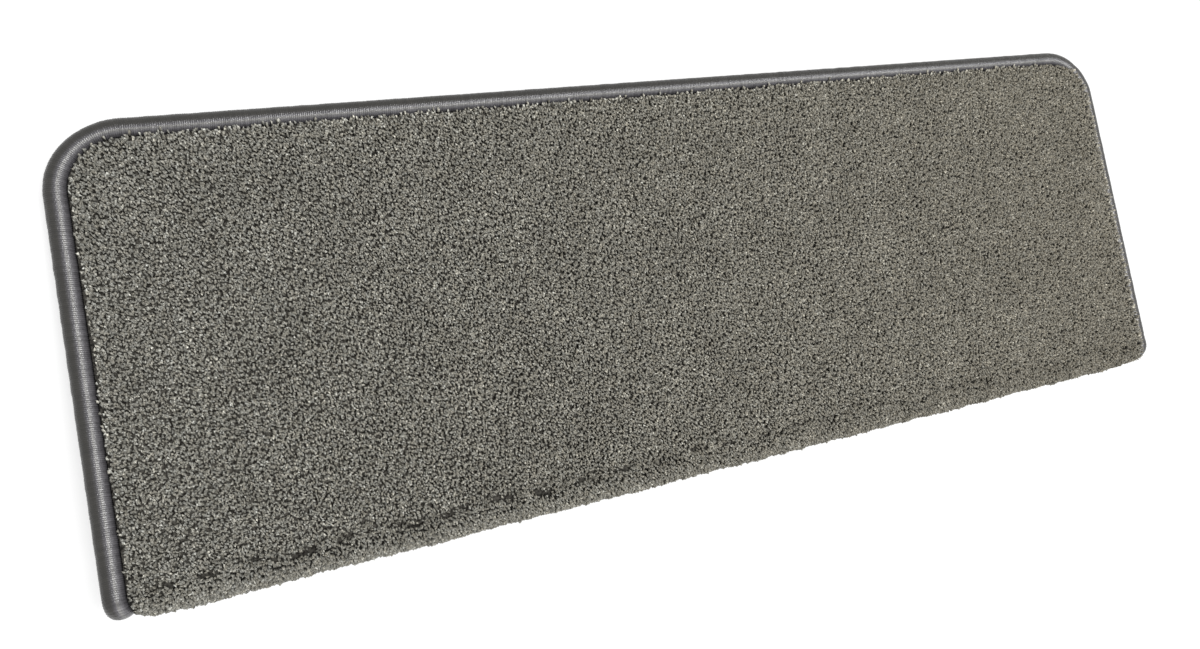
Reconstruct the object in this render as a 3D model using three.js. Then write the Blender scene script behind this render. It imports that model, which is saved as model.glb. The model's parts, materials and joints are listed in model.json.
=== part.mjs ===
import * as THREE from "three";

// Anti-slip stair tread mat: a cut-pile carpet tread whose front is folded down over the
// nose of the step, with a whipped yarn edge all round, a rubber underside and a plastic
// angle that keeps the fold. It lies pile up, on the lip's lower edge and its back edge.
// Each layer is laid out flat and then carried round the fold, as the real ones are.
// Millimetres, +Z up, X across the step, the nose towards -Y.

// Size over the whipped edge
const matWidth = 650;
const treadDepth = 235;
const lipDrop = 40;
const backCornerRadius = 35;
const lipCornerRadius = 15;
const noseInnerRadius = 4;

// Layers, from the underside up
const rubberThickness = 1.6;
const baseThickness = 1.8;
const pileLength = 6.2;
const bondGap = 0.3;

// The whipped edge is an oval roll of yarn, wound over the edge of the carpet's woven base
const whipWidth = 9.6;
const whipHeight = 8;
const yarnOutsideBase = 2;

// Plastic angle in the fold, in front of the rubber
const angleThickness = 1.4;
const angleTreadLeg = 25;

// Grain of the pile: the pitch of its clumps, how far their tips differ in height, how far
// the pile falls away beside the whipped edge, and how deep it parts where the fold begins
const grainPitch = 8;
const grainHeight = 2;
const pileShoulder = 2;
const partingDepth = 1.2;

// Lines across the mat that lie closer than this are one line
const closestLines = 0.3;

// Facets of a quarter turn, and of the whipped edge's section
const cornerSteps = 7;
const foldSteps = 6;
const whipSides = 14;

const quarterTurn = Math.PI / 2;
const baseBottom = rubberThickness + bondGap;
const baseTop = baseBottom + baseThickness;
const pileBottom = baseTop + bondGap;
const pileTop = pileBottom + pileLength;
const noseOuterRadius = noseInnerRadius + pileTop;

// Lengths along the flat mat, from its back edge. The woven base keeps its length in the
// fold, so it sets how much of the flat mat the fold takes up.
const foldRadius = noseInnerRadius + baseBottom;
const foldStart = treadDepth - noseOuterRadius;
const foldEnd = foldStart + foldRadius * quarterTurn;
const lipLength = lipDrop - pileTop - noseInnerRadius;
const flatLength = foldEnd + lipLength;

const layerInset = whipWidth + bondGap;
const whipMiddle = whipHeight / 2;

// Carries a point of the flat mat to its place on the folded one. The height is measured
// from the underside.
function fold(across, along, height) {
  const radius = noseInnerRadius + height;
  const angle = THREE.MathUtils.clamp((along - foldStart) / foldRadius, 0, quarterTurn);
  const beforeFold = Math.max(foldStart - along, 0);
  const beyondFold = Math.max(along - foldEnd, 0);
  const y = noseOuterRadius + beforeFold - radius * Math.sin(angle);
  const z = radius * Math.cos(angle) - noseInnerRadius - beyondFold;
  return [across, y, z];
}

function backRadius(inset) {
  return Math.max(backCornerRadius - inset, 0);
}

function lipRadius(inset) {
  return Math.max(Math.min(lipCornerRadius, lipLength) - inset, 0);
}

// How much a round corner takes off the side, at a distance from the edge it ends on
function cornerCut(radius, distance) {
  const rise = Math.max(radius - distance, 0);
  return radius - Math.sqrt(Math.max(radius * radius - rise * rise, 0));
}

function halfWidth(along, inset) {
  const fromBack = Math.max(along - inset, 0);
  const fromLip = Math.max(flatLength - inset - along, 0);
  const backCut = cornerCut(backRadius(inset), fromBack);
  const lipCut = cornerCut(lipRadius(inset), fromLip);
  return matWidth / 2 - inset - backCut - lipCut;
}

function steps(count) {
  return Array.from({ length: count + 1 }, (_, step) => step / count);
}

// Lines across the flat mat at which its outline or its slope changes
function shapeLines(inset) {
  const rise = steps(cornerSteps).map((part) => 1 - Math.cos(part * quarterTurn));
  const backCorner = rise.map((part) => inset + backRadius(inset) * part);
  const lipCorner = rise.map((part) => flatLength - inset - lipRadius(inset) * part);
  const foldLines = steps(foldSteps).map((part) => foldStart + (foldEnd - foldStart) * part);
  return [...backCorner, ...foldLines, ...lipCorner];
}

// Sorts the lines and leaves out each that would lie too close to a kept one
function spaced(lines) {
  const kept = [];
  for (const line of lines.toSorted((a, b) => a - b)) {
    if (kept.length === 0 || line - kept.at(-1) > closestLines) {
      kept.push(line);
    }
  }
  return kept;
}

// One layer of the mat as a closed body: a plain underside with two points on each line,
// and a grid of points on its top face, joined round the rim
function layer(lines, columns, inset, bottom, topHeight) {
  const positions = [];
  const faces = [];
  for (const along of lines) {
    const half = halfWidth(along, inset);
    positions.push(...fold(-half, along, bottom), ...fold(half, along, bottom));
    for (let column = 0; column <= columns; column++) {
      const across = half * (2 * column / columns - 1);
      positions.push(...fold(across, along, topHeight(across, along, inset)));
    }
  }
  const left = (row) => row * (columns + 3);
  const right = (row) => left(row) + 1;
  const top = (row, column) => left(row) + 2 + column;
  const quad = (a, b, c, d) => faces.push(a, b, c, a, c, d);
  const last = lines.length - 1;
  for (let row = 0; row < last; row++) {
    const ahead = row + 1;
    quad(left(row), right(row), right(ahead), left(ahead));
    quad(left(row), left(ahead), top(ahead, 0), top(row, 0));
    quad(top(row, columns), top(ahead, columns), right(ahead), right(row));
    for (let column = 0; column < columns; column++) {
      const next = column + 1;
      quad(top(row, column), top(ahead, column), top(ahead, next), top(row, next));
    }
  }
  faces.push(right(0), left(0), top(0, columns), left(last), right(last), top(last, columns));
  for (let column = 0; column < columns; column++) {
    faces.push(left(0), top(0, column), top(0, column + 1));
    faces.push(left(last), top(last, column + 1), top(last, column));
  }
  return closedGeometry(positions, faces);
}

function closedGeometry(positions, faces) {
  const geometry = new THREE.BufferGeometry();
  geometry.setAttribute("position", new THREE.Float32BufferAttribute(positions, 3));
  geometry.setIndex(faces);
  return geometry;
}

function plainLayer(inset, bottom, top) {
  return layer(spaced(shapeLines(inset)), 1, inset, bottom, () => top);
}

// A number from 0 to 1 that differs from place to place and is the same in each build
function speckle(across, along) {
  const wave = 43758.5453 * Math.sin(12.9898 * across + 78.233 * along);
  return wave - Math.floor(wave);
}

// Height of the cut tufts: uneven tips, parted at the fold, and lower along the rim, beside
// the whipped edge
function pileHeight(across, along, inset) {
  const toSide = halfWidth(along, inset) - Math.abs(across);
  const toEnd = Math.min(along - inset, flatLength - inset - along);
  if (Math.min(toSide, toEnd) < closestLines) {
    return pileTop - pileShoulder;
  }
  const parting = Math.abs(along - foldStart) < closestLines ? partingDepth : 0;
  return pileTop - parting - grainHeight * speckle(across, along);
}

function pileLines(inset) {
  const treadLength = foldStart - inset - backRadius(inset);
  const rows = Math.max(Math.round(treadLength / grainPitch), 1);
  const grain = steps(rows).map((part) => foldStart - treadLength * part);
  return spaced([...shapeLines(inset), ...grain]);
}

function pile() {
  const columns = Math.round((matWidth - 2 * layerInset) / grainPitch);
  return layer(pileLines(layerInset), columns, layerInset, pileBottom, pileHeight);
}

// The woven base runs out past the pile, and the yarn of the edge is wound over it
function carpetBase() {
  return plainLayer(yarnOutsideBase, baseBottom, baseTop);
}

// Section of the whipped edge: x points out of the mat, y up from the underside, and a slot
// on the inner side takes the woven base
function whipSection() {
  const slotLow = baseBottom - bondGap;
  const slotHigh = baseTop + bondGap;
  const slotEnd = whipWidth / 2 - yarnOutsideBase + bondGap;
  const rise = (height) => Math.asin((height - whipMiddle) / whipMiddle);
  const from = -Math.PI - rise(slotLow);
  const to = Math.PI - rise(slotHigh);
  const oval = steps(whipSides).map((part) => {
    const angle = from + (to - from) * part;
    return [whipWidth / 2 * Math.cos(angle), whipMiddle + whipMiddle * Math.sin(angle)];
  });
  return [...oval, [slotEnd, slotHigh], [slotEnd, slotLow]];
}

// Centre line of the whipped edge on one side of the flat mat, from the back edge to the
// lip's: each station has its place and the direction that points out of the mat
function whipSide(side) {
  const inset = whipWidth / 2;
  const edge = matWidth / 2 - inset;
  const turn = steps(cornerSteps).map((part) => part * quarterTurn);
  const corner = (radius, centre, angles, facing) => angles.map((angle) => ({
    across: side * (edge - radius + radius * Math.sin(angle)),
    along: centre + facing * radius * Math.cos(angle),
    out: [side * Math.sin(angle), facing * Math.cos(angle)],
  }));
  const back = backRadius(inset);
  const lip = lipRadius(inset);
  const foldLines = steps(foldSteps).map((part) => ({
    across: side * edge,
    along: foldStart + (foldEnd - foldStart) * part,
    out: [side, 0],
  }));
  return [
    ...corner(back, inset + back, turn, -1),
    ...foldLines,
    ...corner(lip, flatLength - inset - lip, turn.toReversed(), 1),
  ];
}

function edgeWhipping() {
  const stations = [...whipSide(1), ...whipSide(-1).toReversed()];
  const section = whipSection();
  const positions = stations.flatMap((station) => section.flatMap(([outward, up]) => fold(
    station.across + outward * station.out[0],
    station.along + outward * station.out[1],
    up,
  )));
  const faces = [];
  stations.forEach((_, station) => {
    const here = station * section.length;
    const ahead = (station + 1) % stations.length * section.length;
    section.forEach((_, point) => {
      const next = (point + 1) % section.length;
      faces.push(here + point, here + next, ahead + next);
      faces.push(here + point, ahead + next, ahead + point);
    });
  });
  return closedGeometry(positions, faces);
}

// The rubber lies under the tread, from the back edge to the angle
function rubberBacking() {
  const front = foldStart - angleTreadLeg - bondGap;
  const lines = [...shapeLines(layerInset).filter((line) => line < front), front];
  return layer(spaced(lines), 1, layerInset, 0, () => rubberThickness);
}

// A plastic strip bent with the mat, bonded under the woven base from the front of the
// tread round to the lip's whipped edge
function noseAngle() {
  const rear = foldStart - angleTreadLeg;
  const lines = [rear, ...shapeLines(layerInset).filter((line) => line > rear)];
  const bottom = rubberThickness - angleThickness;
  return layer(spaced(lines), 1, layerInset, bottom, () => rubberThickness);
}

// Distance from the centre of an oval to the line that touches it, for a line whose upward
// normal leans back by the angle
function ovalReach(halfDepth, halfHeight, angle) {
  return Math.hypot(halfDepth * Math.sin(angle), halfHeight * Math.cos(angle));
}

// The mat rests on the two rolls of yarn at the lip's lower edge and at the back edge: the
// tilt at which one floor line touches both is found by halving
function restTilt() {
  const halfWhip = whipWidth / 2;
  const lip = fold(0, flatLength - halfWhip, whipMiddle);
  const back = fold(0, halfWhip, whipMiddle);
  const floorUnder = ([, y, z], reach, angle) =>
    z * Math.cos(angle) - y * Math.sin(angle) - reach;
  let low = 0;
  let high = quarterTurn / 2;
  for (let halving = 0; halving < 50; halving++) {
    const angle = (low + high) / 2;
    const lipFloor = floorUnder(lip, ovalReach(whipMiddle, halfWhip, angle), angle);
    const backFloor = floorUnder(back, ovalReach(halfWhip, whipMiddle, angle), angle);
    if (lipFloor < backFloor) {
      low = angle;
    } else {
      high = angle;
    }
  }
  return (low + high) / 2;
}

function piece(name, geometry, color, roughness) {
  const material = new THREE.MeshStandardMaterial({ color, roughness, metalness: 0 });
  const mesh = new THREE.Mesh(geometry, material);
  mesh.name = name;
  return mesh;
}

const mat = new THREE.Group();
mat.rotation.x = -restTilt();
mat.add(
  piece("pile", pile(), 0x76736b, 0.95),
  piece("carpet_base", carpetBase(), 0x8a8478, 0.9),
  piece("edge_whipping", edgeWhipping(), 0x8c8b88, 0.55),
  piece("anti_slip_backing", rubberBacking(), 0x4d4c49, 0.9),
  piece("nose_angle", noseAngle(), 0x2f3032, 0.5),
);

// The origin is the middle of the floor under the mat
const stairMat = new THREE.Group();
stairMat.add(mat);
stairMat.updateMatrixWorld(true);
const box = new THREE.Box3().setFromObject(stairMat, true);
mat.position.set(0, -(box.min.y + box.max.y) / 2, -box.min.z);

export default stairMat;
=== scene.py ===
import json
import math
import bpy
import numpy as np
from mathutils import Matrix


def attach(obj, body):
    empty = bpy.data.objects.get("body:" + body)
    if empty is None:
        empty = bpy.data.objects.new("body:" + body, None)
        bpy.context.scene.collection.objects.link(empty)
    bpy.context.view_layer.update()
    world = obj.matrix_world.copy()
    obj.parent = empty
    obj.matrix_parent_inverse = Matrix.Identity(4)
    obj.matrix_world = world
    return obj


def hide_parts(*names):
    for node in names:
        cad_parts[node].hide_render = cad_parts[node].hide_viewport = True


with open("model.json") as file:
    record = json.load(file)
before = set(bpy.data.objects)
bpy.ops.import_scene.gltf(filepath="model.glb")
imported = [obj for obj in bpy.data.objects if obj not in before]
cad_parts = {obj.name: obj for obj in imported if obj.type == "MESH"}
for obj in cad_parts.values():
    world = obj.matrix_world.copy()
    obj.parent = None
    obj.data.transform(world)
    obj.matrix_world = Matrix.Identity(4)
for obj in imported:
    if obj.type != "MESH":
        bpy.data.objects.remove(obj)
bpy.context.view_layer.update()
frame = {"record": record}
bpy.ops.object.select_all(action="DESELECT")

# All lengths are in metres

# Sizes of the mat, as in the part
MAT_WIDTH = 0.650
TREAD_DEPTH = 0.235
LIP_DROP = 0.040
BACK_CORNER_RADIUS = 0.035
LIP_CORNER_RADIUS = 0.015
NOSE_INNER_RADIUS = 0.004
RUBBER_THICKNESS = 0.0016
BASE_THICKNESS = 0.0018
PILE_LENGTH = 0.0062
BOND_GAP = 0.0003
WHIP_WIDTH = 0.0096
WHIP_HEIGHT = 0.008
YARN_OUTSIDE_BASE = 0.002
ANGLE_TREAD_LEG = 0.025

# Where the underside mount lies, from the back edge
MOUNT_ALONG = 0.110

QUARTER_TURN = math.pi / 2
FULL_TURN = 2 * math.pi

# Heights from the underside and distances from the back edge that follow from the sizes
BASE_BOTTOM = RUBBER_THICKNESS + BOND_GAP
BASE_TOP = BASE_BOTTOM + BASE_THICKNESS
PILE_BOTTOM = BASE_TOP + BOND_GAP
PILE_TOP = PILE_BOTTOM + PILE_LENGTH
NOSE_OUTER_RADIUS = NOSE_INNER_RADIUS + PILE_TOP
FOLD_RADIUS = NOSE_INNER_RADIUS + BASE_BOTTOM
FOLD_START = TREAD_DEPTH - NOSE_OUTER_RADIUS
FOLD_END = FOLD_START + FOLD_RADIUS * QUARTER_TURN
LIP_LENGTH = LIP_DROP - PILE_TOP - NOSE_INNER_RADIUS
FLAT_LENGTH = FOLD_END + LIP_LENGTH
LAYER_INSET = WHIP_WIDTH + BOND_GAP
WHIP_MIDDLE = WHIP_HEIGHT / 2

# How the tufts are set. Shoulder and shift of the tip are shares of a tuft's height and
# radius, disorder and crowding are shares of the pitch
TUFT_PITCH = 0.00114
TUFT_RADIUS = 0.00082
TUFT_FOOT = PILE_BOTTOM + 0.0012
TUFT_SHOULDER = 0.87
TIP_SHIFT = 0.4
PLACE_DISORDER = 0.17
FOLD_CROWDING = 0.46
RIM_INSET = LAYER_INSET + TUFT_RADIUS + 0.0008
OUTERMOST_INSET = RIM_INSET - 0.3 * TUFT_RADIUS
ROOT_INSET = LAYER_INSET + 0.0010
ROOT_TOP = PILE_BOTTOM + 0.0036
STRIPS = 5

# The rim of the pile. Its share starts a little over 1 and fades inwards
RIM_START = 1.25
RIM_BREADTH = 0.004

# Random drifts: each is a height and the wavelength it comes and goes with. The waves of one
# field are shorter and longer than its wavelength by these shares
SHORTEST_WAVE = 0.6
LONGEST_WAVE = 1.6

# The crease along the nose and the cracks in it. Both come and go round a usual strength, and
# both have one part that is there everywhere and one that is added at the deepest place
CREASE = FOLD_START - 0.0008
CREASE_DRIFTS = ((0.0009, 0.05), (0.0005, 0.012))
CREASE_BREADTH = 0.0034
CREASE_USUAL = 0.8
CREASE_CHANGE = 0.4
CREASE_MOST = 1.5
CREASE_EVERYWHERE = 0.7
CREASE_AT_DEEPEST = 0.3
CRACK_BREADTH = 0.0010
CRACK_REACH = 0.0022
CRACK_USUAL = 0.3
CRACK_CHANGE = 1.5
CRACK_EVERYWHERE = 0.4
CRACK_AT_DEEPEST = 0.6
CHANGE_LENGTH = 0.014
DEEPEST_PLACE = -0.155
DEEPEST_BREADTH = 0.11

# How high the tufts reach
LONGEST_OVER_PILE = 0.0002
TOP_SPREAD = 0.00032
TREAD_DRIFTS = ((0.00012, 0.035), (0.00010, 0.011))
LIP_DRIFTS = ((0.00030, 0.014), (0.00022, 0.005))
LIP_DRIFT_ONSET = 0.006
LONG_TUFT_SHARE = 0.05
LONG_TUFT_EXTRA = (0.0002, 0.0008)
RIM_DROP = 0.0020
RIGHT_RIM_LIFT = 0.0018
CREASE_DROP = 0.0006

# How far the tips of the tufts lean
STREAK_HEADING = math.radians(-60)
NAP_SIDEWAYS = 0.0006
NAP_BACKWARD = 0.0004
LEAN_WITH_STREAK = 0.0010
LEAN_ACROSS_STREAK = 0.0004
LEAN_DRIFTS = ((0.00015, 0.06), (0.00012, 0.016))
CRACK_LEAN = 0.0013
CREASE_LEAN = 0.0006
RIM_SIDEWAYS = 0.0007
RIM_BACKWARD = 0.0006
RIGHT_RIM_SIDEWAYS = 0.0026
STRAY_SHARE = 0.28
STRAY_RIM_SHARE = 0.4
STRAY_SIDEWAYS = (-0.0014, 0.0006)
STRAY_BACKWARD = (0.0004, 0.0018)

# How thick the tufts are, as shares of the radius, and how flat and turned
THICKNESS_SHARES = (0.86, 1.2)
FLATNESS = (0.42, 0.85)
TURN_SPREAD = 0.55
FIBRE_STRETCH = 0.25
FIBRE_STARTS = (0, 0.4)

# Tone and warmth of the tufts, on scales from 0 to 1. The tone raised in the middle and lowered
# towards both sides and the right is painted light and shade across the mat, and the warmer
# right side is a painted warm light
TONE_CURVE = (2.0, 2.9)
TONE_DRIFT = 0.02
TONE_DRIFT_LENGTH = 0.05
MIDDLE_PALER = 0.03
ENDS_DARKER = 0.05
RIGHT_DARKER = 0.05
RIM_PALER = 0.2
STRAY_PALER = 0.35
# Painted shade in the crease along the nose
CREASE_DARKER = 0.25
WARMTH_RANGE = (0.2, 0.8)
RIGHT_WARMER = 0.3

# Yarn of the whipped edge. The roll is fuller on the side of the pile
THREAD_PITCH = 0.00096
THREAD_DEPTH = 0.00012
THREAD_CREST = 0.0001
THREAD_SPREAD = 0.00003
THREAD_SLANT = 0.0009
BULGE_HEIGHT = 0.00002
BULGES_ROUND = (50, 170)
BULGE_WAVES = 8
PILE_SIDE_FULLNESS = 1.11
GIRTH_IN_UV = 0.030

# Angles round the section of the roll, in degrees: where its underside ends on the outside,
# then from there over the top to the pile, and the share of painted light the yarn gets at some
# of them: a painted highlight on the crest, painted light towards the pile, and painted shade on
# the outer flank where the share is nil
UNDER_END = -15
UNDER_POINTS = 6
OVER_ANGLES = [10, 34, 56, 73, 86, 98, 109, 121, 144]
PAINTED_GLEAM_ANGLES = [73, 86, 98, 109, 121, 144]
PAINTED_GLEAM_SHARES = [0, 0.06, 0.5, 1, 0.85, 0.62]

# Raised grip dots of the rubber. Top and sunk part are shares of radius and height
DOT_PITCH = 0.0085
DOT_RADIUS = 0.0019
DOT_HEIGHT = 0.0006
DOT_TOP_SHARE = 0.6
DOT_SUNK_SHARE = 0.3

# Strength of the room's light on the mat, and of what the camera sees behind it
ROOM_LIGHT = 0.27
BACKGROUND_LIGHT = 1.0

# The floor: its shade for light on the mat and for the camera, and its glow for the camera
FLOOR_SIZE = 3.2
FLOOR_SHADE_FOR_LIGHT = 0.35
FLOOR_SHADE_IN_PICTURE = 0.45
FLOOR_GLOW_IN_PICTURE = 0.6

SEED = 11
random = np.random.default_rng(SEED)


# Shape of the mat: laid out flat, folded over the nose, and tilted as it rests

def fold(across, along, height):
    """Points of the flat mat on the folded one. Height is from the underside."""
    radius = NOSE_INNER_RADIUS + height
    angle = np.clip((along - FOLD_START) / FOLD_RADIUS, 0, QUARTER_TURN)
    before = np.maximum(FOLD_START - along, 0)
    beyond = np.maximum(along - FOLD_END, 0)
    y = NOSE_OUTER_RADIUS + before - radius * np.sin(angle)
    z = radius * np.cos(angle) - NOSE_INNER_RADIUS - beyond
    return np.stack(np.broadcast_arrays(across, y, z), axis=-1)


mount = next(m for m in frame["record"]["mounts"] if m["name"] == "tread_underside")
TILT_SINE = -mount["axis"][1]
TILT_COSINE = -mount["axis"][2]


def tilted(vectors):
    """Vectors of the level mat, turned onto the mat as it rests on its lip."""
    x, y, z = np.moveaxis(vectors, -1, 0)
    return np.stack([
        x,
        y * TILT_COSINE + z * TILT_SINE,
        z * TILT_COSINE - y * TILT_SINE,
    ], axis=-1)


REST_SHIFT = np.array(mount["pos_m"]) - tilted(fold(0.0, MOUNT_ALONG, 0.0))


def placed(across, along, height):
    """Points of the flat mat on the resting one."""
    return tilted(fold(across, along, height)) + REST_SHIFT


def directions(along):
    """Sideways, backward and outward at a distance from the back edge, on the resting mat."""
    angle = np.clip((along - FOLD_START) / FOLD_RADIUS, 0, QUARTER_TURN)
    nothing, sine, cosine = np.zeros_like(angle), np.sin(angle), np.cos(angle)
    sideways = np.stack([nothing + 1, nothing, nothing], axis=-1)
    backward = tilted(np.stack([nothing, cosine, sine], axis=-1))
    outward = tilted(np.stack([nothing, -sine, cosine], axis=-1))
    return sideways, backward, outward


def back_radius(inset):
    return max(BACK_CORNER_RADIUS - inset, 0)


def lip_radius(inset):
    return max(min(LIP_CORNER_RADIUS, LIP_LENGTH) - inset, 0)


def corner_cut(radius, distance):
    """How far a round corner narrows the mat, at a distance from the edge it starts from."""
    rise = np.maximum(radius - distance, 0)
    return radius - np.sqrt(np.maximum(radius * radius - rise * rise, 0))


def half_width(along, inset):
    """Half the width of a layer that ends an inset within the mat's outline."""
    back = corner_cut(back_radius(inset), np.maximum(along - inset, 0))
    lip = corner_cut(lip_radius(inset), np.maximum(FLAT_LENGTH - inset - along, 0))
    return MAT_WIDTH / 2 - inset - back - lip


def shape_lines(inset, corner_steps=12, tread_lines=24, fold_steps=12, decimals=5):
    """Distances from the back edge at which the outline or the slope changes."""
    rise = 1 - np.cos(np.linspace(0, QUARTER_TURN, corner_steps + 1))
    lines = np.concatenate([
        inset + back_radius(inset) * rise,
        np.linspace(inset + back_radius(inset), FOLD_START, tread_lines),
        np.linspace(FOLD_START, FOLD_END, fold_steps + 1),
        FLAT_LENGTH - inset - lip_radius(inset) * rise,
    ])
    return np.unique(lines.round(decimals))


# Mesh helpers

def started(add_shape, **settings):
    """A new piece from one of the simple starting shapes."""
    bpy.ops.object.select_all(action="DESELECT")
    add_shape(**settings)
    return bpy.context.object


def applied(piece, kind, **settings):
    """Puts a modifier on a piece and applies it."""
    bpy.ops.object.select_all(action="DESELECT")
    piece.select_set(True)
    bpy.context.view_layer.objects.active = piece
    modifier = piece.modifiers.new(kind.title(), kind)
    for name, value in settings.items():
        setattr(modifier, name, value)
    bpy.ops.object.modifier_apply(modifier=modifier.name)


def coordinates(piece):
    points = np.empty(3 * len(piece.data.vertices))
    piece.data.vertices.foreach_get("co", points)
    return points.reshape(-1, 3)


def set_coordinates(piece, points):
    piece.data.vertices.foreach_set("co", np.ascontiguousarray(points).ravel())
    piece.data.update()


def folded_sheet(name, inset, bottom, top, columns):
    """A flat grid cut to the mat's outline, carried round the fold and given its thickness."""
    lines = shape_lines(inset)
    rows = len(lines) - 1
    piece = started(bpy.ops.mesh.primitive_grid_add,
                    x_subdivisions=columns, y_subdivisions=rows, size=2)
    piece.name = name
    points = coordinates(piece)
    row = ((1 - points[:, 1]) / 2 * rows).round().astype(int)
    along = lines[row]
    across = points[:, 0] * half_width(along, inset)
    set_coordinates(piece, placed(across, along, np.full_like(along, bottom)))
    applied(piece, "SOLIDIFY", thickness=top - bottom, offset=1, use_even_offset=True)
    return piece


def mesh_piece(name, points, faces):
    """A piece from its points and its faces, all with the same number of corners."""
    mesh = bpy.data.meshes.new(name)
    count, corners = faces.shape
    mesh.vertices.add(len(points))
    mesh.vertices.foreach_set("co", points.ravel())
    mesh.loops.add(count * corners)
    mesh.loops.foreach_set("vertex_index", faces.ravel().astype(np.int32))
    mesh.polygons.add(count)
    starts = np.arange(0, count * corners, corners, dtype=np.int32)
    mesh.polygons.foreach_set("loop_start", starts)
    mesh.update(calc_edges=True)
    mesh.validate()
    piece = bpy.data.objects.new(name, mesh)
    bpy.context.collection.objects.link(piece)
    return piece


def smooth(piece):
    shading = np.ones(len(piece.data.polygons), dtype=bool)
    piece.data.polygons.foreach_set("use_smooth", shading)
    piece.data.update()


def shape_of(pattern):
    """Points and triangles of a pattern object, which is then taken away."""
    applied(pattern, "TRIANGULATE")
    points = coordinates(pattern)
    corners = np.empty(3 * len(pattern.data.polygons), dtype=np.int32)
    pattern.data.loops.foreach_get("vertex_index", corners)
    bpy.data.objects.remove(pattern, do_unlink=True)
    return points, corners.reshape(-1, 3)


def planted(name, pattern, places, sides, fronts, ups):
    """Copies of a pattern in one mesh, each at its place and with its own three axes."""
    points, triangles = pattern
    copies = (
        places[:, None, :]
        + points[None, :, 0, None] * sides[:, None, :]
        + points[None, :, 1, None] * fronts[:, None, :]
        + points[None, :, 2, None] * ups[:, None, :]
    )
    offsets = np.arange(len(places))[:, None, None] * len(points)
    faces = (triangles[None, :, :] + offsets).reshape(-1, 3)
    return mesh_piece(name, copies.reshape(-1, 3), faces)


def mark(piece, name, values, kind="FLOAT", field="value"):
    """Gives every point a number, or a vector, that a material reads by its name."""
    layer = piece.data.attributes.new(name, kind, "POINT")
    layer.data.foreach_set(field, np.ascontiguousarray(values, dtype=np.float32).ravel())


# Materials

class Nodes:
    """A new material and short calls that add and join its nodes."""

    def __init__(self, name):
        self.material = bpy.data.materials.new(name)
        self.material.use_nodes = True
        self.tree = self.material.node_tree
        self.shader = self.tree.nodes["Principled BSDF"]

    def add(self, kind, **settings):
        node = self.tree.nodes.new(kind)
        for name, value in settings.items():
            setattr(node, name, value)
        return node

    def join(self, output, target):
        self.tree.links.new(output, target)

    def fill(self, socket, value):
        """Joins an output to a socket, or sets the socket to a value."""
        if isinstance(value, bpy.types.NodeSocket):
            self.join(value, socket)
        else:
            socket.default_value = value

    def place(self):
        return self.add("ShaderNodeTexCoord").outputs["Object"]

    def attribute(self, name, output="Fac"):
        return self.add("ShaderNodeAttribute", attribute_name=name).outputs[output]

    def stretched(self, vector, scale):
        node = self.add("ShaderNodeMapping")
        self.join(vector, node.inputs["Vector"])
        node.inputs["Scale"].default_value = scale
        return node.outputs["Vector"]

    def noise(self, vector, scale, detail=2.0, roughness=0.5):
        """Noise with about as many features to the metre as its scale says."""
        node = self.add("ShaderNodeTexNoise")
        self.join(vector, node.inputs["Vector"])
        node.inputs["Scale"].default_value = scale
        node.inputs["Detail"].default_value = detail
        node.inputs["Roughness"].default_value = roughness
        return node.outputs["Fac"]

    def ramp(self, factor, stops):
        """Colours between stops, each a position and a colour."""
        node = self.add("ShaderNodeValToRGB")
        self.join(factor, node.inputs["Fac"])
        elements = node.color_ramp.elements
        while len(elements) < len(stops):
            elements.new(0.5)
        for element, (position, color) in zip(elements, stops):
            element.position = position
            element.color = (*color, 1)
        return node.outputs["Color"]

    def spread(self, value, low, high, to_low, to_high):
        """A value between low and high, carried over to another range."""
        node = self.add("ShaderNodeMapRange")
        for name, entry in (
            ("Value", value),
            ("From Min", low),
            ("From Max", high),
            ("To Min", to_low),
            ("To Max", to_high),
        ):
            self.fill(node.inputs[name], entry)
        return node.outputs["Result"]

    def varied(self, noise, to_low, to_high):
        """A range that a noise runs through: most of a noise lies between 0.3 and 0.7."""
        return self.spread(noise, 0.3, 0.7, to_low, to_high)

    def tinted(self, color, amount):
        """A colour multiplied by a number from another node."""
        node = self.add("ShaderNodeVectorMath", operation="SCALE")
        self.join(color, node.inputs[0])
        self.fill(node.inputs["Scale"], amount)
        return node.outputs["Vector"]

    def blend(self, color, other):
        """Two colours multiplied."""
        node = self.add("ShaderNodeVectorMath", operation="MULTIPLY")
        self.join(color, node.inputs[0])
        self.join(other, node.inputs[1])
        return node.outputs["Vector"]

    def bump(self, height, strength, distance, before=None):
        node = self.add("ShaderNodeBump")
        self.join(height, node.inputs["Height"])
        node.inputs["Strength"].default_value = strength
        node.inputs["Distance"].default_value = distance
        if before is not None:
            self.join(before, node.inputs["Normal"])
        return node.outputs["Normal"]

    def math(self, operation, first, second):
        node = self.add("ShaderNodeMath", operation=operation)
        self.fill(node.inputs[0], first)
        self.fill(node.inputs[1], second)
        return node.outputs[0]

    def shade(self, **sockets):
        """Fills the shader's sockets, named with underscores, and gives the finished material."""
        for name, value in sockets.items():
            self.fill(self.shader.inputs[name.replace("_", " ")], value)
        return self.material


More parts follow.
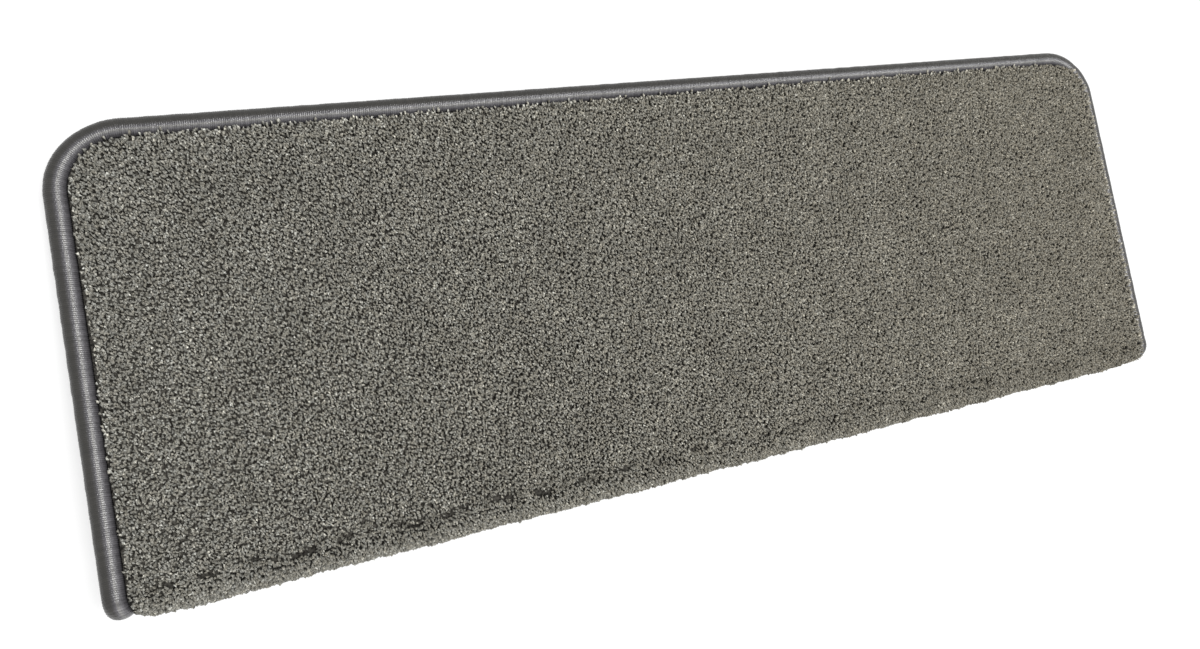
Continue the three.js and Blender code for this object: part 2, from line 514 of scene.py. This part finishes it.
def cut_pile_yarn():
    """Warm grey twisted yarn with a tone for each tuft. Painted shade darkens each tuft down its
    flanks towards its foot, so that the tip is palest.
    """
    nodes = Nodes("cut_pile_yarn")
    fibre = nodes.attribute("fibre", "Vector")
    color = nodes.ramp(nodes.attribute("tone"), [
        (0.0, (0.194, 0.184, 0.159)),
        (0.3, (0.280, 0.268, 0.237)),
        (0.7, (0.412, 0.397, 0.357)),
        (1.0, (0.800, 0.778, 0.710)),
    ])
    tint = nodes.ramp(nodes.attribute("warmth"), [
        (0.0, (0.90, 0.93, 0.94)),
        (1.0, (0.97, 0.925, 0.82)),
    ])
    # Painted shade: each tuft darker down its flanks, palest at the tip
    height = nodes.ramp(nodes.attribute("rise"), [
        (0.50, (0.34, 0.34, 0.33)),
        (0.64, (0.56, 0.56, 0.55)),
        (0.88, (0.80, 0.80, 0.80)),
        (1.0, (1.0, 1.0, 1.0)),
    ])
    fibres = nodes.noise(fibre, 1750, 3.0, 0.6)
    twist = nodes.noise(fibre, 2600, 2.0, 0.6)
    patches = nodes.noise(nodes.place(), 26, 3.0)
    color = nodes.blend(nodes.blend(color, tint), height)
    contrast = nodes.spread(fibres, low=0.36, high=0.64, to_low=0.36, to_high=1.70)
    color = nodes.tinted(color, contrast)
    color = nodes.tinted(color, nodes.varied(patches, 0.98, 1.05))
    return nodes.shade(
        Base_Color=color,
        Normal=nodes.bump(twist, 0.8, 0.0004),
        Roughness=0.85,
        Specular_IOR_Level=0.25,
        Sheen_Weight=0.2,
        Sheen_Roughness=0.5,
        Sheen_Tint=(0.8, 0.78, 0.70, 1),
    )


def pile_root_yarn():
    """The dense lower part of the pile, seen only between the tufts. Its dark colour is painted
    shade, darkest from the nose on, where the tufts spread apart."""
    nodes = Nodes("pile_root_yarn")
    place = nodes.place()
    grain = nodes.noise(place, 700, 3.0)
    # Painted shade: the root is coloured far darker than the tufts
    color = nodes.ramp(grain, [(0.4, (0.020, 0.018, 0.015)), (0.6, (0.100, 0.094, 0.081))])
    parts = nodes.add("ShaderNodeSeparateXYZ")
    nodes.join(place, parts.inputs["Vector"])
    # Painted shade, deeper from the nose on
    behind_nose = nodes.spread(parts.outputs["Y"], low=-0.104, high=-0.097, to_low=0.3, to_high=1.0)
    return nodes.shade(
        Base_Color=nodes.tinted(color, behind_nose),
        Normal=nodes.bump(grain, 0.8, 0.0008),
        Roughness=0.95,
        Specular_IOR_Level=0.2,
    )


def whipping_yarn():
    """Dark grey wound yarn with a satin gleam. Its colour holds a painted highlight along the crest
    of the roll, painted light towards the pile and painted shade on the outer flank. Fibres run
    along each thread, and painted shade darkens the thread where it dips towards the next one."""
    nodes = Nodes("wound_yarn")
    wound = nodes.add("ShaderNodeUVMap", uv_map="wound").outputs["UV"]
    dip = nodes.attribute("dip")
    fibres = nodes.noise(nodes.stretched(wound, (1, 0.12, 1)), 4200, 3.0, 0.6)
    flecks = nodes.noise(wound, 900, 2.0)
    # Painted highlight on the crest, painted light towards the pile, painted shade on the outer
    # flank
    color = nodes.ramp(nodes.attribute("painted_gleam"), [
        (0.0, (0.026, 0.024, 0.020)),
        (0.5, (0.070, 0.067, 0.072)),
        (0.8, (0.122, 0.118, 0.126)),
        (1.0, (0.205, 0.200, 0.190)),
    ])
    color = nodes.tinted(color, nodes.spread(nodes.attribute("tone"), 0.0, 1.0, 0.78, 1.22))
    color = nodes.tinted(color, nodes.varied(fibres, 0.75, 1.25))
    # Painted shade where each thread dips towards the next one, and a little painted light on its
    # crest
    color = nodes.tinted(color, nodes.spread(dip, 0.0, 1.0, 1.1, 0.7))
    rounding = nodes.math("SUBTRACT", 1.0, nodes.math("MULTIPLY", dip, dip))
    normal = nodes.bump(flecks, 0.6, 0.0003)
    normal = nodes.bump(rounding, 1.0, 0.00007, normal)
    normal = nodes.bump(fibres, 0.1, 0.00012, normal)
    return nodes.shade(
        Base_Color=color,
        Normal=normal,
        Roughness=nodes.varied(flecks, 0.38, 0.16),
        IOR=1.50,
        Specular_IOR_Level=0.52,
    )


def woven_base_cloth():
    """Coarse plain weave of flat tapes, over and under in turn."""
    nodes = Nodes("woven_base_cloth")
    place = nodes.place()
    tapes = []
    for direction in ("X", "Y"):
        wave = nodes.add("ShaderNodeTexWave", bands_direction=direction)
        nodes.join(place, wave.inputs["Vector"])
        wave.inputs["Scale"].default_value = 160
        wave.inputs["Distortion"].default_value = 0.4
        tapes.append(wave.outputs["Fac"])
    weave = nodes.math("MULTIPLY", *tapes)
    color = nodes.ramp(weave, [(0.1, (0.17, 0.155, 0.125)), (0.8, (0.33, 0.305, 0.255))])
    return nodes.shade(Base_Color=color, Normal=nodes.bump(weave, 0.6, 0.0004), Roughness=0.85)


def grip_rubber():
    """Dark grey rubber coat, slightly dusty and pitted."""
    nodes = Nodes("grip_rubber")
    place = nodes.place()
    pits = nodes.noise(place, 1300, 3.0, 0.6)
    dust = nodes.noise(place, 14, 3.0)
    return nodes.shade(
        Base_Color=nodes.ramp(dust, [(0.3, (0.062, 0.060, 0.056)), (0.7, (0.086, 0.084, 0.078))]),
        Normal=nodes.bump(pits, 0.35, 0.0003),
        Roughness=nodes.varied(dust, 0.68, 0.82),
        Specular_IOR_Level=0.4,
    )


def angle_plastic():
    """Near-black extruded plastic with a fine grain and faint draw lines along its length."""
    nodes = Nodes("extruded_plastic")
    place = nodes.place()
    lines = nodes.noise(nodes.stretched(place, (0.01, 1, 1)), 900, 2.0)
    grain = nodes.noise(place, 2600, 2.0)
    return nodes.shade(
        Base_Color=nodes.ramp(lines, [(0.3, (0.022, 0.023, 0.025)), (0.7, (0.034, 0.035, 0.038))]),
        Normal=nodes.bump(lines, 0.3, 0.0002, nodes.bump(grain, 0.25, 0.0001)),
        Roughness=nodes.varied(lines, 0.38, 0.52),
    )


def seen_in_picture(tree):
    """1 where the camera sees a surface, straight or in a reflection, and 0 for light on it."""
    path = tree.nodes.new("ShaderNodeLightPath")
    seen = path.outputs["Is Camera Ray"]
    for name in ("Is Glossy Ray", "Is Transmission Ray"):
        either = tree.nodes.new("ShaderNodeMath")
        either.operation = "MAXIMUM"
        tree.links.new(seen, either.inputs[0])
        tree.links.new(path.outputs[name], either.inputs[1])
        seen = either.outputs[0]
    return seen


def plain_floor():
    """Pale floor, which shows white but throws less light back up at the mat."""
    nodes = Nodes("plain_floor")
    seen = seen_in_picture(nodes.tree)
    shades = [(0.0, [FLOOR_SHADE_FOR_LIGHT] * 3), (1.0, [FLOOR_SHADE_IN_PICTURE] * 3)]
    return nodes.shade(
        Base_Color=nodes.ramp(seen, shades),
        Roughness=1.0,
        Specular_IOR_Level=0.0,
        Emission_Color=(1, 1, 1, 1),
        Emission_Strength=nodes.math("MULTIPLY", seen, FLOOR_GLOW_IN_PICTURE),
    )


# Pile

def dress(piece, material, slot, *nodes):
    """Gives a piece its material, hangs it on the root body and hides the CAD nodes it stands
    for. The slot is not used.
    """
    piece.data.materials.clear()
    piece.data.materials.append(material)
    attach(piece, "root")
    if nodes:
        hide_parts(*nodes)
    return piece


def tuft_pattern():
    """One cut tuft, one unit high: it widens from its foot and ends in a low three-sided tip.
    The cone's tip becomes the tuft's, and the middle of its bottom becomes the foot."""
    tuft = started(bpy.ops.mesh.primitive_cone_add, vertices=3, depth=1, end_fill_type="TRIFAN")
    points = coordinates(tuft)
    tip = points[:, 2] > 0
    in_middle = np.hypot(points[:, 0], points[:, 1]) < 0.5
    foot = ~tip & in_middle
    points[:, 2] = np.where(tip, 1, np.where(foot, 0, TUFT_SHOULDER))
    points[:, 0] += np.where(tip, TIP_SHIFT, 0)
    set_coordinates(tuft, points)
    return shape_of(tuft)


def swell(across, along, wavelength, waves=7):
    """A smooth random field of about unit height, for drifts in how the pile stands."""
    total = np.zeros_like(across)
    for _ in range(waves):
        heading, phase = random.uniform(0, FULL_TURN, 2)
        length = wavelength * random.uniform(SHORTEST_WAVE, LONGEST_WAVE)
        distance = across * math.cos(heading) + along * math.sin(heading)
        total += np.sin(FULL_TURN * distance / length + phase)
    return total / math.sqrt(waves / 2)


def swell_across(across, wavelength):
    """A smooth random field that changes only from side to side."""
    return swell(across, np.zeros_like(across), wavelength)


def drifting(across, along, drifts):
    """Several smooth random fields together."""
    return sum(height * swell(across, along, wavelength) for height, wavelength in drifts)


def tuft_places():
    """Distances across and along the flat mat of all tufts, in staggered rows with some
    disorder. The rows lie closer in the fold, where the tips spread apart."""
    row_step = TUFT_PITCH * math.sqrt(3) / 2
    rows = []
    along = RIM_INSET
    while along < FLAT_LENGTH - RIM_INSET:
        rows.append(along)
        in_fold = FOLD_START - row_step < along < FOLD_END
        along += row_step * (FOLD_CROWDING if in_fold else 1)
    places = []
    for number, along in enumerate(rows):
        half = float(half_width(along, RIM_INSET))
        count = max(int(2 * half / TUFT_PITCH), 2)
        across = np.linspace(-half, half, count) + (number % 2 - 0.5) * TUFT_PITCH / 2
        places.append(np.stack([across, np.full(count, along)]))
    across, along = np.concatenate(places, axis=1)
    across = across + random.normal(0, PLACE_DISORDER, len(across)) * TUFT_PITCH
    along = along + random.normal(0, PLACE_DISORDER, len(along)) * TUFT_PITCH
    along = np.clip(along, OUTERMOST_INSET, FLAT_LENGTH - OUTERMOST_INSET)
    limit = half_width(along, OUTERMOST_INSET)
    return np.clip(across, -limit, limit), along


def rim_shares(across, along):
    """How far each tuft belongs to the rim, from 0 to 1, and to the right rim alone, where the
    pile leans over the whipping."""
    to_side = half_width(along, LAYER_INSET) - np.abs(across)
    to_ends = np.minimum(along, FLAT_LENGTH - along) - LAYER_INSET
    rim = np.clip(RIM_START - np.minimum(to_side, to_ends) / RIM_BREADTH, 0, 1)
    over_right = (across > 0) * np.clip(RIM_START - to_side / RIM_BREADTH, 0, 1)
    return rim, over_right


def nose_crease(across, along):
    """Each tuft's distance from the wavy crease along the nose, how far it stands in the
    hollow there, and how wide the crease has cracked open beside it."""
    deepest = np.exp(-((across - DEEPEST_PLACE) / DEEPEST_BREADTH) ** 2)
    crease_line = CREASE
    for height, wavelength in CREASE_DRIFTS:
        crease_line = crease_line + height * swell_across(across, wavelength)
    from_crease = along - crease_line
    crease = np.exp(-(from_crease / CREASE_BREADTH) ** 2)
    crease *= CREASE_EVERYWHERE + CREASE_AT_DEEPEST * deepest
    change = CREASE_CHANGE * swell(across, along, CHANGE_LENGTH)
    crease *= np.clip(CREASE_USUAL + change, 0, CREASE_MOST)
    change = CRACK_CHANGE * swell_across(across, CHANGE_LENGTH)
    crack = np.clip(CRACK_USUAL + change, 0, 1)
    crack *= CRACK_EVERYWHERE + CRACK_AT_DEEPEST * deepest
    return from_crease, crease, crack


def tuft_tops(across, along, rim, over_right, crease):
    """Height of each tip from the underside: uneven, more so on the lip, and low at the rim and
    in the crease."""
    count = len(across)
    on_lip = np.clip((along - FOLD_START) / LIP_DRIFT_ONSET, 0, 1)
    top = PILE_TOP + LONGEST_OVER_PILE - np.abs(random.normal(0, TOP_SPREAD, count))
    top += drifting(across, along, TREAD_DRIFTS)
    top += on_lip * drifting(across, along, LIP_DRIFTS)
    is_long = random.uniform(0, 1, count) < LONG_TUFT_SHARE
    top += on_lip * is_long * random.uniform(*LONG_TUFT_EXTRA, count)
    top -= RIM_DROP * rim - RIGHT_RIM_LIFT * over_right + CREASE_DROP * crease
    return top


def tuft_leans(across, along, rim, over_right, from_crease, crease, crack):
    """How far each tip leans sideways and backward, and which tufts stray from the rim."""
    count = len(across)
    with_streak = random.normal(0, LEAN_WITH_STREAK, count)
    across_streak = random.normal(0, LEAN_ACROSS_STREAK, count)
    cosine, sine = math.cos(STREAK_HEADING), math.sin(STREAK_HEADING)
    lean_sideways = NAP_SIDEWAYS + with_streak * cosine - across_streak * sine
    lean_backward = NAP_BACKWARD + with_streak * sine + across_streak * cosine
    for drift, wavelength in LEAN_DRIFTS:
        lean_sideways += drift * swell(across, along, wavelength)
        lean_backward += drift * swell(across, along, wavelength)
    beside_crack = crack * np.exp(-(from_crease / CRACK_REACH) ** 2)
    lean_backward -= beside_crack * np.sign(from_crease) * CRACK_LEAN
    lean_backward += crease * random.normal(0, CREASE_LEAN, count)
    lean_sideways += RIM_SIDEWAYS * rim + RIGHT_RIM_SIDEWAYS * over_right
    lean_backward += RIM_BACKWARD * rim
    may_stray = (rim > STRAY_RIM_SHARE) & (along < FOLD_START)
    stray = may_stray & (random.uniform(0, 1, count) < STRAY_SHARE)
    lean_sideways -= stray * np.sign(across) * random.uniform(*STRAY_SIDEWAYS, count)
    lean_backward += stray * random.uniform(*STRAY_BACKWARD, count)
    return lean_sideways, lean_backward, stray


def tuft_axes(along, tall, lean_sideways, lean_backward):
    """The three axes of each tuft, and the size its fibres are drawn at."""
    count = len(along)
    sideways, backward, outward = directions(along)
    thick = TUFT_RADIUS * random.uniform(*THICKNESS_SHARES, count)
    narrow = np.sqrt(random.uniform(*FLATNESS, count))
    turn = random.normal(STREAK_HEADING, TURN_SPREAD, count)
    turn = turn + math.pi * random.integers(0, 2, count)
    cosine, sine = np.cos(turn)[:, None], np.sin(turn)[:, None]
    first = (sideways * cosine + backward * sine) * (thick / narrow)[:, None]
    second = (backward * cosine - sideways * sine) * (thick * narrow)[:, None]
    third = outward * tall[:, None]
    third += sideways * lean_sideways[:, None] + backward * lean_backward[:, None]
    fibre_size = np.stack([thick / narrow, thick * narrow, FIBRE_STRETCH * tall], axis=-1)
    return first, second, third, fibre_size


def tuft_tones(across, along, rim, stray, crease):
    """Tone and warmth of each tuft."""
    count = len(across)
    off_middle = across / (MAT_WIDTH / 2)
    tone = random.beta(*TONE_CURVE, count) + TONE_DRIFT * swell(across, along, TONE_DRIFT_LENGTH)
    # Painted light and shade across the mat: paler in the middle, darker towards both sides and the
    # right
    tone += MIDDLE_PALER - ENDS_DARKER * off_middle ** 2 - RIGHT_DARKER * off_middle
    rim_tone = RIM_PALER * rim * random.uniform(0, 1, count)
    # Painted shade darkens the tufts in the crease along the nose
    tone += rim_tone + STRAY_PALER * stray - CREASE_DARKER * crease
    # Warmth differs at random, plus a painted warm light growing towards the right
    warmth = random.uniform(*WARMTH_RANGE, count) + RIGHT_WARMER * off_middle
    return np.clip(tone, 0, 1), np.clip(warmth, 0, 1)


def pile_tufts():
    """The cut pile in strips: every tuft with its own thickness, height, lean and tone."""
    pattern = tuft_pattern()
    rise = pattern[0][:, 2]
    across, along = tuft_places()
    rim, over_right = rim_shares(across, along)
    from_crease, crease, crack = nose_crease(across, along)
    tall = tuft_tops(across, along, rim, over_right, crease) - TUFT_FOOT
    lean_sideways, lean_backward, stray = tuft_leans(
        across, along, rim, over_right, from_crease, crease, crack)
    first, second, third, fibre_size = tuft_axes(along, tall, lean_sideways, lean_backward)
    feet = placed(across, along, np.full_like(along, TUFT_FOOT))
    tone, warmth = tuft_tones(across, along, rim, stray, crease)
    fibre_start = random.uniform(*FIBRE_STARTS, (len(across), 3))
    kept = np.abs(from_crease) > CRACK_BREADTH * crack

    material = cut_pile_yarn()
    edges = np.linspace(-MAT_WIDTH / 2, MAT_WIDTH / 2, STRIPS + 1)
    pieces = []
    for number in range(STRIPS):
        inside = kept & (across >= edges[number]) & (across < edges[number + 1])
        piece = planted(f"pile_tufts_{number + 1}", pattern, feet[inside], first[inside],
                        second[inside], third[inside])
        mark(piece, "tone", np.repeat(tone[inside], len(rise)))
        mark(piece, "warmth", np.repeat(warmth[inside], len(rise)))
        mark(piece, "rise", np.tile(rise, inside.sum()))
        fibre = fibre_start[inside, None] + pattern[0][None] * fibre_size[inside, None]
        mark(piece, "fibre", fibre, "FLOAT_VECTOR", "vector")
        smooth(piece)
        pieces.append(dress(piece, material, "pile", "pile"))
    return pieces


def pile_root():
    """The closed lower part of the pile, from which the tufts stand up."""
    piece = folded_sheet("pile_root", ROOT_INSET, PILE_BOTTOM, ROOT_TOP, columns=40)
    smooth(piece)
    return dress(piece, pile_root_yarn(), "pile", "pile")


# Woven base

def carpet_base():
    """The cloth under the pile, one sheet that is held folded over the nose."""
    piece = folded_sheet("woven_base", YARN_OUTSIDE_BASE, BASE_BOTTOM, BASE_TOP, columns=8)
    dress(piece, woven_base_cloth(), "woven_base", "carpet_base")


# Whipped edge

def whip_line(corner_points=60, line_points=20001):
    """The closed centre line of the whipped edge on the flat mat, as fine steps: distance,
    place and outward direction."""
    inset = WHIP_WIDTH / 2
    edge = MAT_WIDTH / 2 - inset
    back, lip = back_radius(inset), lip_radius(inset)
    turn = np.linspace(0, QUARTER_TURN, corner_points)
    back_corner = np.stack([edge - back + back * np.sin(turn), inset + back - back * np.cos(turn)])
    lip_end = FLAT_LENGTH - inset
    lip_corner = np.stack([edge - lip + lip * np.cos(turn), lip_end - lip + lip * np.sin(turn)])
    right = np.concatenate([back_corner, lip_corner], axis=1)
    left = right[:, ::-1] * np.array([[-1], [1]])
    corners = np.concatenate([right, left, right[:, :1]], axis=1)
    steps = np.hypot(*np.diff(corners))
    distance = np.concatenate([[0], np.cumsum(steps)])
    fine = np.linspace(0, distance[-1], line_points)
    across, along = (np.interp(fine, distance, line) for line in corners)
    heading = np.stack([np.gradient(across), np.gradient(along)])
    heading /= np.hypot(*heading)
    return fine, across, along, heading[1], -heading[0]


def whip_section():
    """Section of the roll, round the oval and into the slot: distance outward, height, what is
    wound with thread, how far the thread slants, and its share of painted light: a painted
    highlight on the crest and painted shade on the outer flank."""
    slot_low, slot_high = BASE_BOTTOM - BOND_GAP, BASE_TOP + BOND_GAP
    slot_end = WHIP_WIDTH / 2 - YARN_OUTSIDE_BASE + BOND_GAP
    start = -math.pi - math.asin(slot_low / WHIP_MIDDLE - 1)
    end = math.pi - math.asin(slot_high / WHIP_MIDDLE - 1)
    under = np.linspace(start, math.radians(UNDER_END), UNDER_POINTS)
    angle = np.concatenate([under, np.radians(OVER_ANGLES), [end]])
    cosine, sine = np.cos(angle), np.sin(angle)
    outward = WHIP_WIDTH / 2 * cosine * np.where(cosine < 0, PILE_SIDE_FULLNESS, 1)
    outward = np.append(outward, [slot_end, slot_end])
    up = np.append(WHIP_MIDDLE * sine, [slot_high - WHIP_MIDDLE, slot_low - WHIP_MIDDLE])
    wound = np.append(np.ones(len(angle)), [0, 0])
    slant = np.append(sine, [0, 0])
    # Share of painted highlight and painted shade at each angle round the section
    painted_gleam = np.interp(np.degrees(angle), PAINTED_GLEAM_ANGLES, PAINTED_GLEAM_SHARES)
    painted_gleam = np.append(painted_gleam, [0, 0])
    return outward, up, wound, slant, painted_gleam


def whipped_edge():
    """The roll of yarn round the edge, with a ridge for each turn of the thread."""
    distance, across, along, out_across, out_along = whip_line()
    outward, up, wound, slant, painted_gleam = whip_section()
    around = distance[-1]
    threads = round(around / THREAD_PITCH)
    stations = np.arange(2 * threads) * around / (2 * threads)
    dip = np.arange(2 * threads) % 2
    waves = random.integers(*BULGES_ROUND, BULGE_WAVES)
    phases = random.uniform(0, FULL_TURN, BULGE_WAVES)
    bulge = sum(
        np.sin(stations / around * FULL_TURN * wave + phase)
        for wave, phase in zip(waves, phases)
    )
    swelling = BULGE_HEIGHT * bulge + np.repeat(random.normal(0, THREAD_SPREAD, threads), 2)
    ring = (swelling - THREAD_DEPTH * dip + THREAD_CREST)[:, None] * wound
    at = (stations[:, None] + THREAD_SLANT * slant * wound) % around
    scale = 1 + ring / np.hypot(outward, up)
    reach = outward * scale
    height = WHIP_MIDDLE + up * scale
    place_across = np.interp(at, distance, across) + reach * np.interp(at, distance, out_across)
    place_along = np.interp(at, distance, along) + reach * np.interp(at, distance, out_along)
    points = placed(place_across, place_along, height).reshape(-1, 3)
    rows, columns = at.shape
    row, column = np.meshgrid(np.arange(rows), np.arange(columns), indexing="ij")
    ahead, after = (row + 1) % rows, (column + 1) % columns
    faces = np.stack([
        row * columns + column,
        row * columns + after,
        ahead * columns + after,
        ahead * columns + column,
    ], axis=-1).reshape(-1, 4)
    piece = mesh_piece("whipped_edge", points, faces)
    smooth(piece)
    mark(piece, "dip", np.repeat(dip, columns))
    # Painted highlight and painted shade round the section, alike at every station
    mark(piece, "painted_gleam", np.tile(painted_gleam, rows))
    mark(piece, "tone", np.repeat(np.repeat(random.uniform(0, 1, threads), 2), columns))
    length = np.linspace(0, around, rows + 1)
    girth = np.linspace(0, GIRTH_IN_UV, columns + 1)
    u = np.stack([length[row], length[row], length[row + 1], length[row + 1]], axis=-1)
    v = np.stack([girth[column], girth[column + 1], girth[column + 1], girth[column]], axis=-1)
    layer = piece.data.uv_layers.new(name="wound")
    layer.data.foreach_set("uv", np.stack([u, v], axis=-1).reshape(-1))
    return dress(piece, whipping_yarn(), "whipping_yarn", "edge_whipping")


# Rubber

def grip_dots():
    """Low dots in staggered rows under the rubber sheet, sunk a little into it."""
    pattern = started(bpy.ops.mesh.primitive_cone_add,
                      vertices=6, radius1=1, radius2=DOT_TOP_SHARE, depth=1)
    set_coordinates(pattern, coordinates(pattern) + np.array([0, 0, 0.5 - DOT_SUNK_SHARE]))
    pattern = shape_of(pattern)
    margin = LAYER_INSET + 2 * DOT_RADIUS
    front = FOLD_START - ANGLE_TREAD_LEG - 2 * DOT_RADIUS
    rows = np.arange(margin, front, DOT_PITCH * math.sqrt(3) / 2)
    places = []
    for number, along in enumerate(rows):
        half = float(half_width(along, margin)) - (number % 2) * DOT_PITCH / 2
        steps = int(half / DOT_PITCH)
        across = np.arange(-steps, steps + 1) * DOT_PITCH
        if number % 2:
            across = (across + DOT_PITCH / 2)[:-1]
        places.append(np.stack([across, np.full(len(across), along)]))
    across, along = np.concatenate(places, axis=1)
    sideways, backward, outward = directions(along)
    bases = placed(across, along, np.zeros_like(along))
    return planted("grip_dots", pattern, bases, sideways * DOT_RADIUS, -backward * DOT_RADIUS,
                   -outward * DOT_HEIGHT)


def finish_node(name, material):
    """Gives a solid that keeps its own shape its finish."""
    solid = bpy.data.objects[name]
    solid.data.materials.clear()
    solid.data.materials.append(material)


# Studio

def floor():
    """A plain pale floor, which belongs to the stage and not to the mat."""
    piece = started(bpy.ops.mesh.primitive_plane_add, size=FLOOR_SIZE)
    piece.name = "floor"
    piece.data.materials.append(plain_floor())


def area_light(name, heading, distance, size, level):
    """A square lamp that faces the mat. Level 1 shows a white surface facing it as white."""
    data = bpy.data.lights.new(name, "AREA")
    data.size = size
    data.energy = level * math.pi ** 2 * distance ** 2
    lamp = bpy.data.objects.new(name, data)
    direction = np.array(heading) / np.linalg.norm(heading)
    lamp.location = direction * distance
    lamp.rotation_euler = (
        math.acos(direction[2]),
        0,
        math.atan2(direction[1], direction[0]) + QUARTER_TURN,
    )
    bpy.context.collection.objects.link(lamp)


def studio():
    """A soft lamp above, a weaker one in front, and the white room."""
    area_light("key_light", heading=(0.34, 0.12, 0.90), distance=9.0, size=3.75, level=0.90)
    area_light("front_fill", heading=(0.22, -0.88, 0.42), distance=5.0, size=3.0, level=0.28)
    world = bpy.context.scene.world or bpy.data.worlds.new("World")
    bpy.context.scene.world = world
    world.use_nodes = True
    tree = world.node_tree
    background = tree.nodes["Background"]
    strength = tree.nodes.new("ShaderNodeMapRange")
    tree.links.new(seen_in_picture(tree), strength.inputs["Value"])
    strength.inputs["To Min"].default_value = ROOM_LIGHT
    strength.inputs["To Max"].default_value = BACKGROUND_LIGHT
    tree.links.new(strength.outputs["Result"], background.inputs["Strength"])
    background.inputs["Color"].default_value = (1, 1, 1, 1)


def camera():
    """The photo's view: from above the left part of the tread, with a wide lens."""
    data = bpy.data.cameras.new("camera")
    data.sensor_width = 36
    data.lens = 22.5
    data.shift_x = -0.0503
    data.shift_y = -0.0269
    data.clip_start = 0.01
    eye = bpy.data.objects.new("camera", data)
    eye.location = (-0.17922, 0.02518, 0.43138)
    eye.rotation_euler = [math.radians(angle) for angle in (-1.3261, -19.5175, -8.6197)]
    bpy.context.collection.objects.link(eye)
    bpy.context.scene.camera = eye


camera()
studio()
floor()

tufts = pile_tufts()
root = pile_root()
edge = whipped_edge()
carpet_base()

rubber = grip_rubber()
finish_node("anti_slip_backing", rubber)
finish_node("nose_angle", angle_plastic())
dress(grip_dots(), rubber, "anti_slip_rubber")

bpy.context.scene.view_settings.view_transform = "Standard"
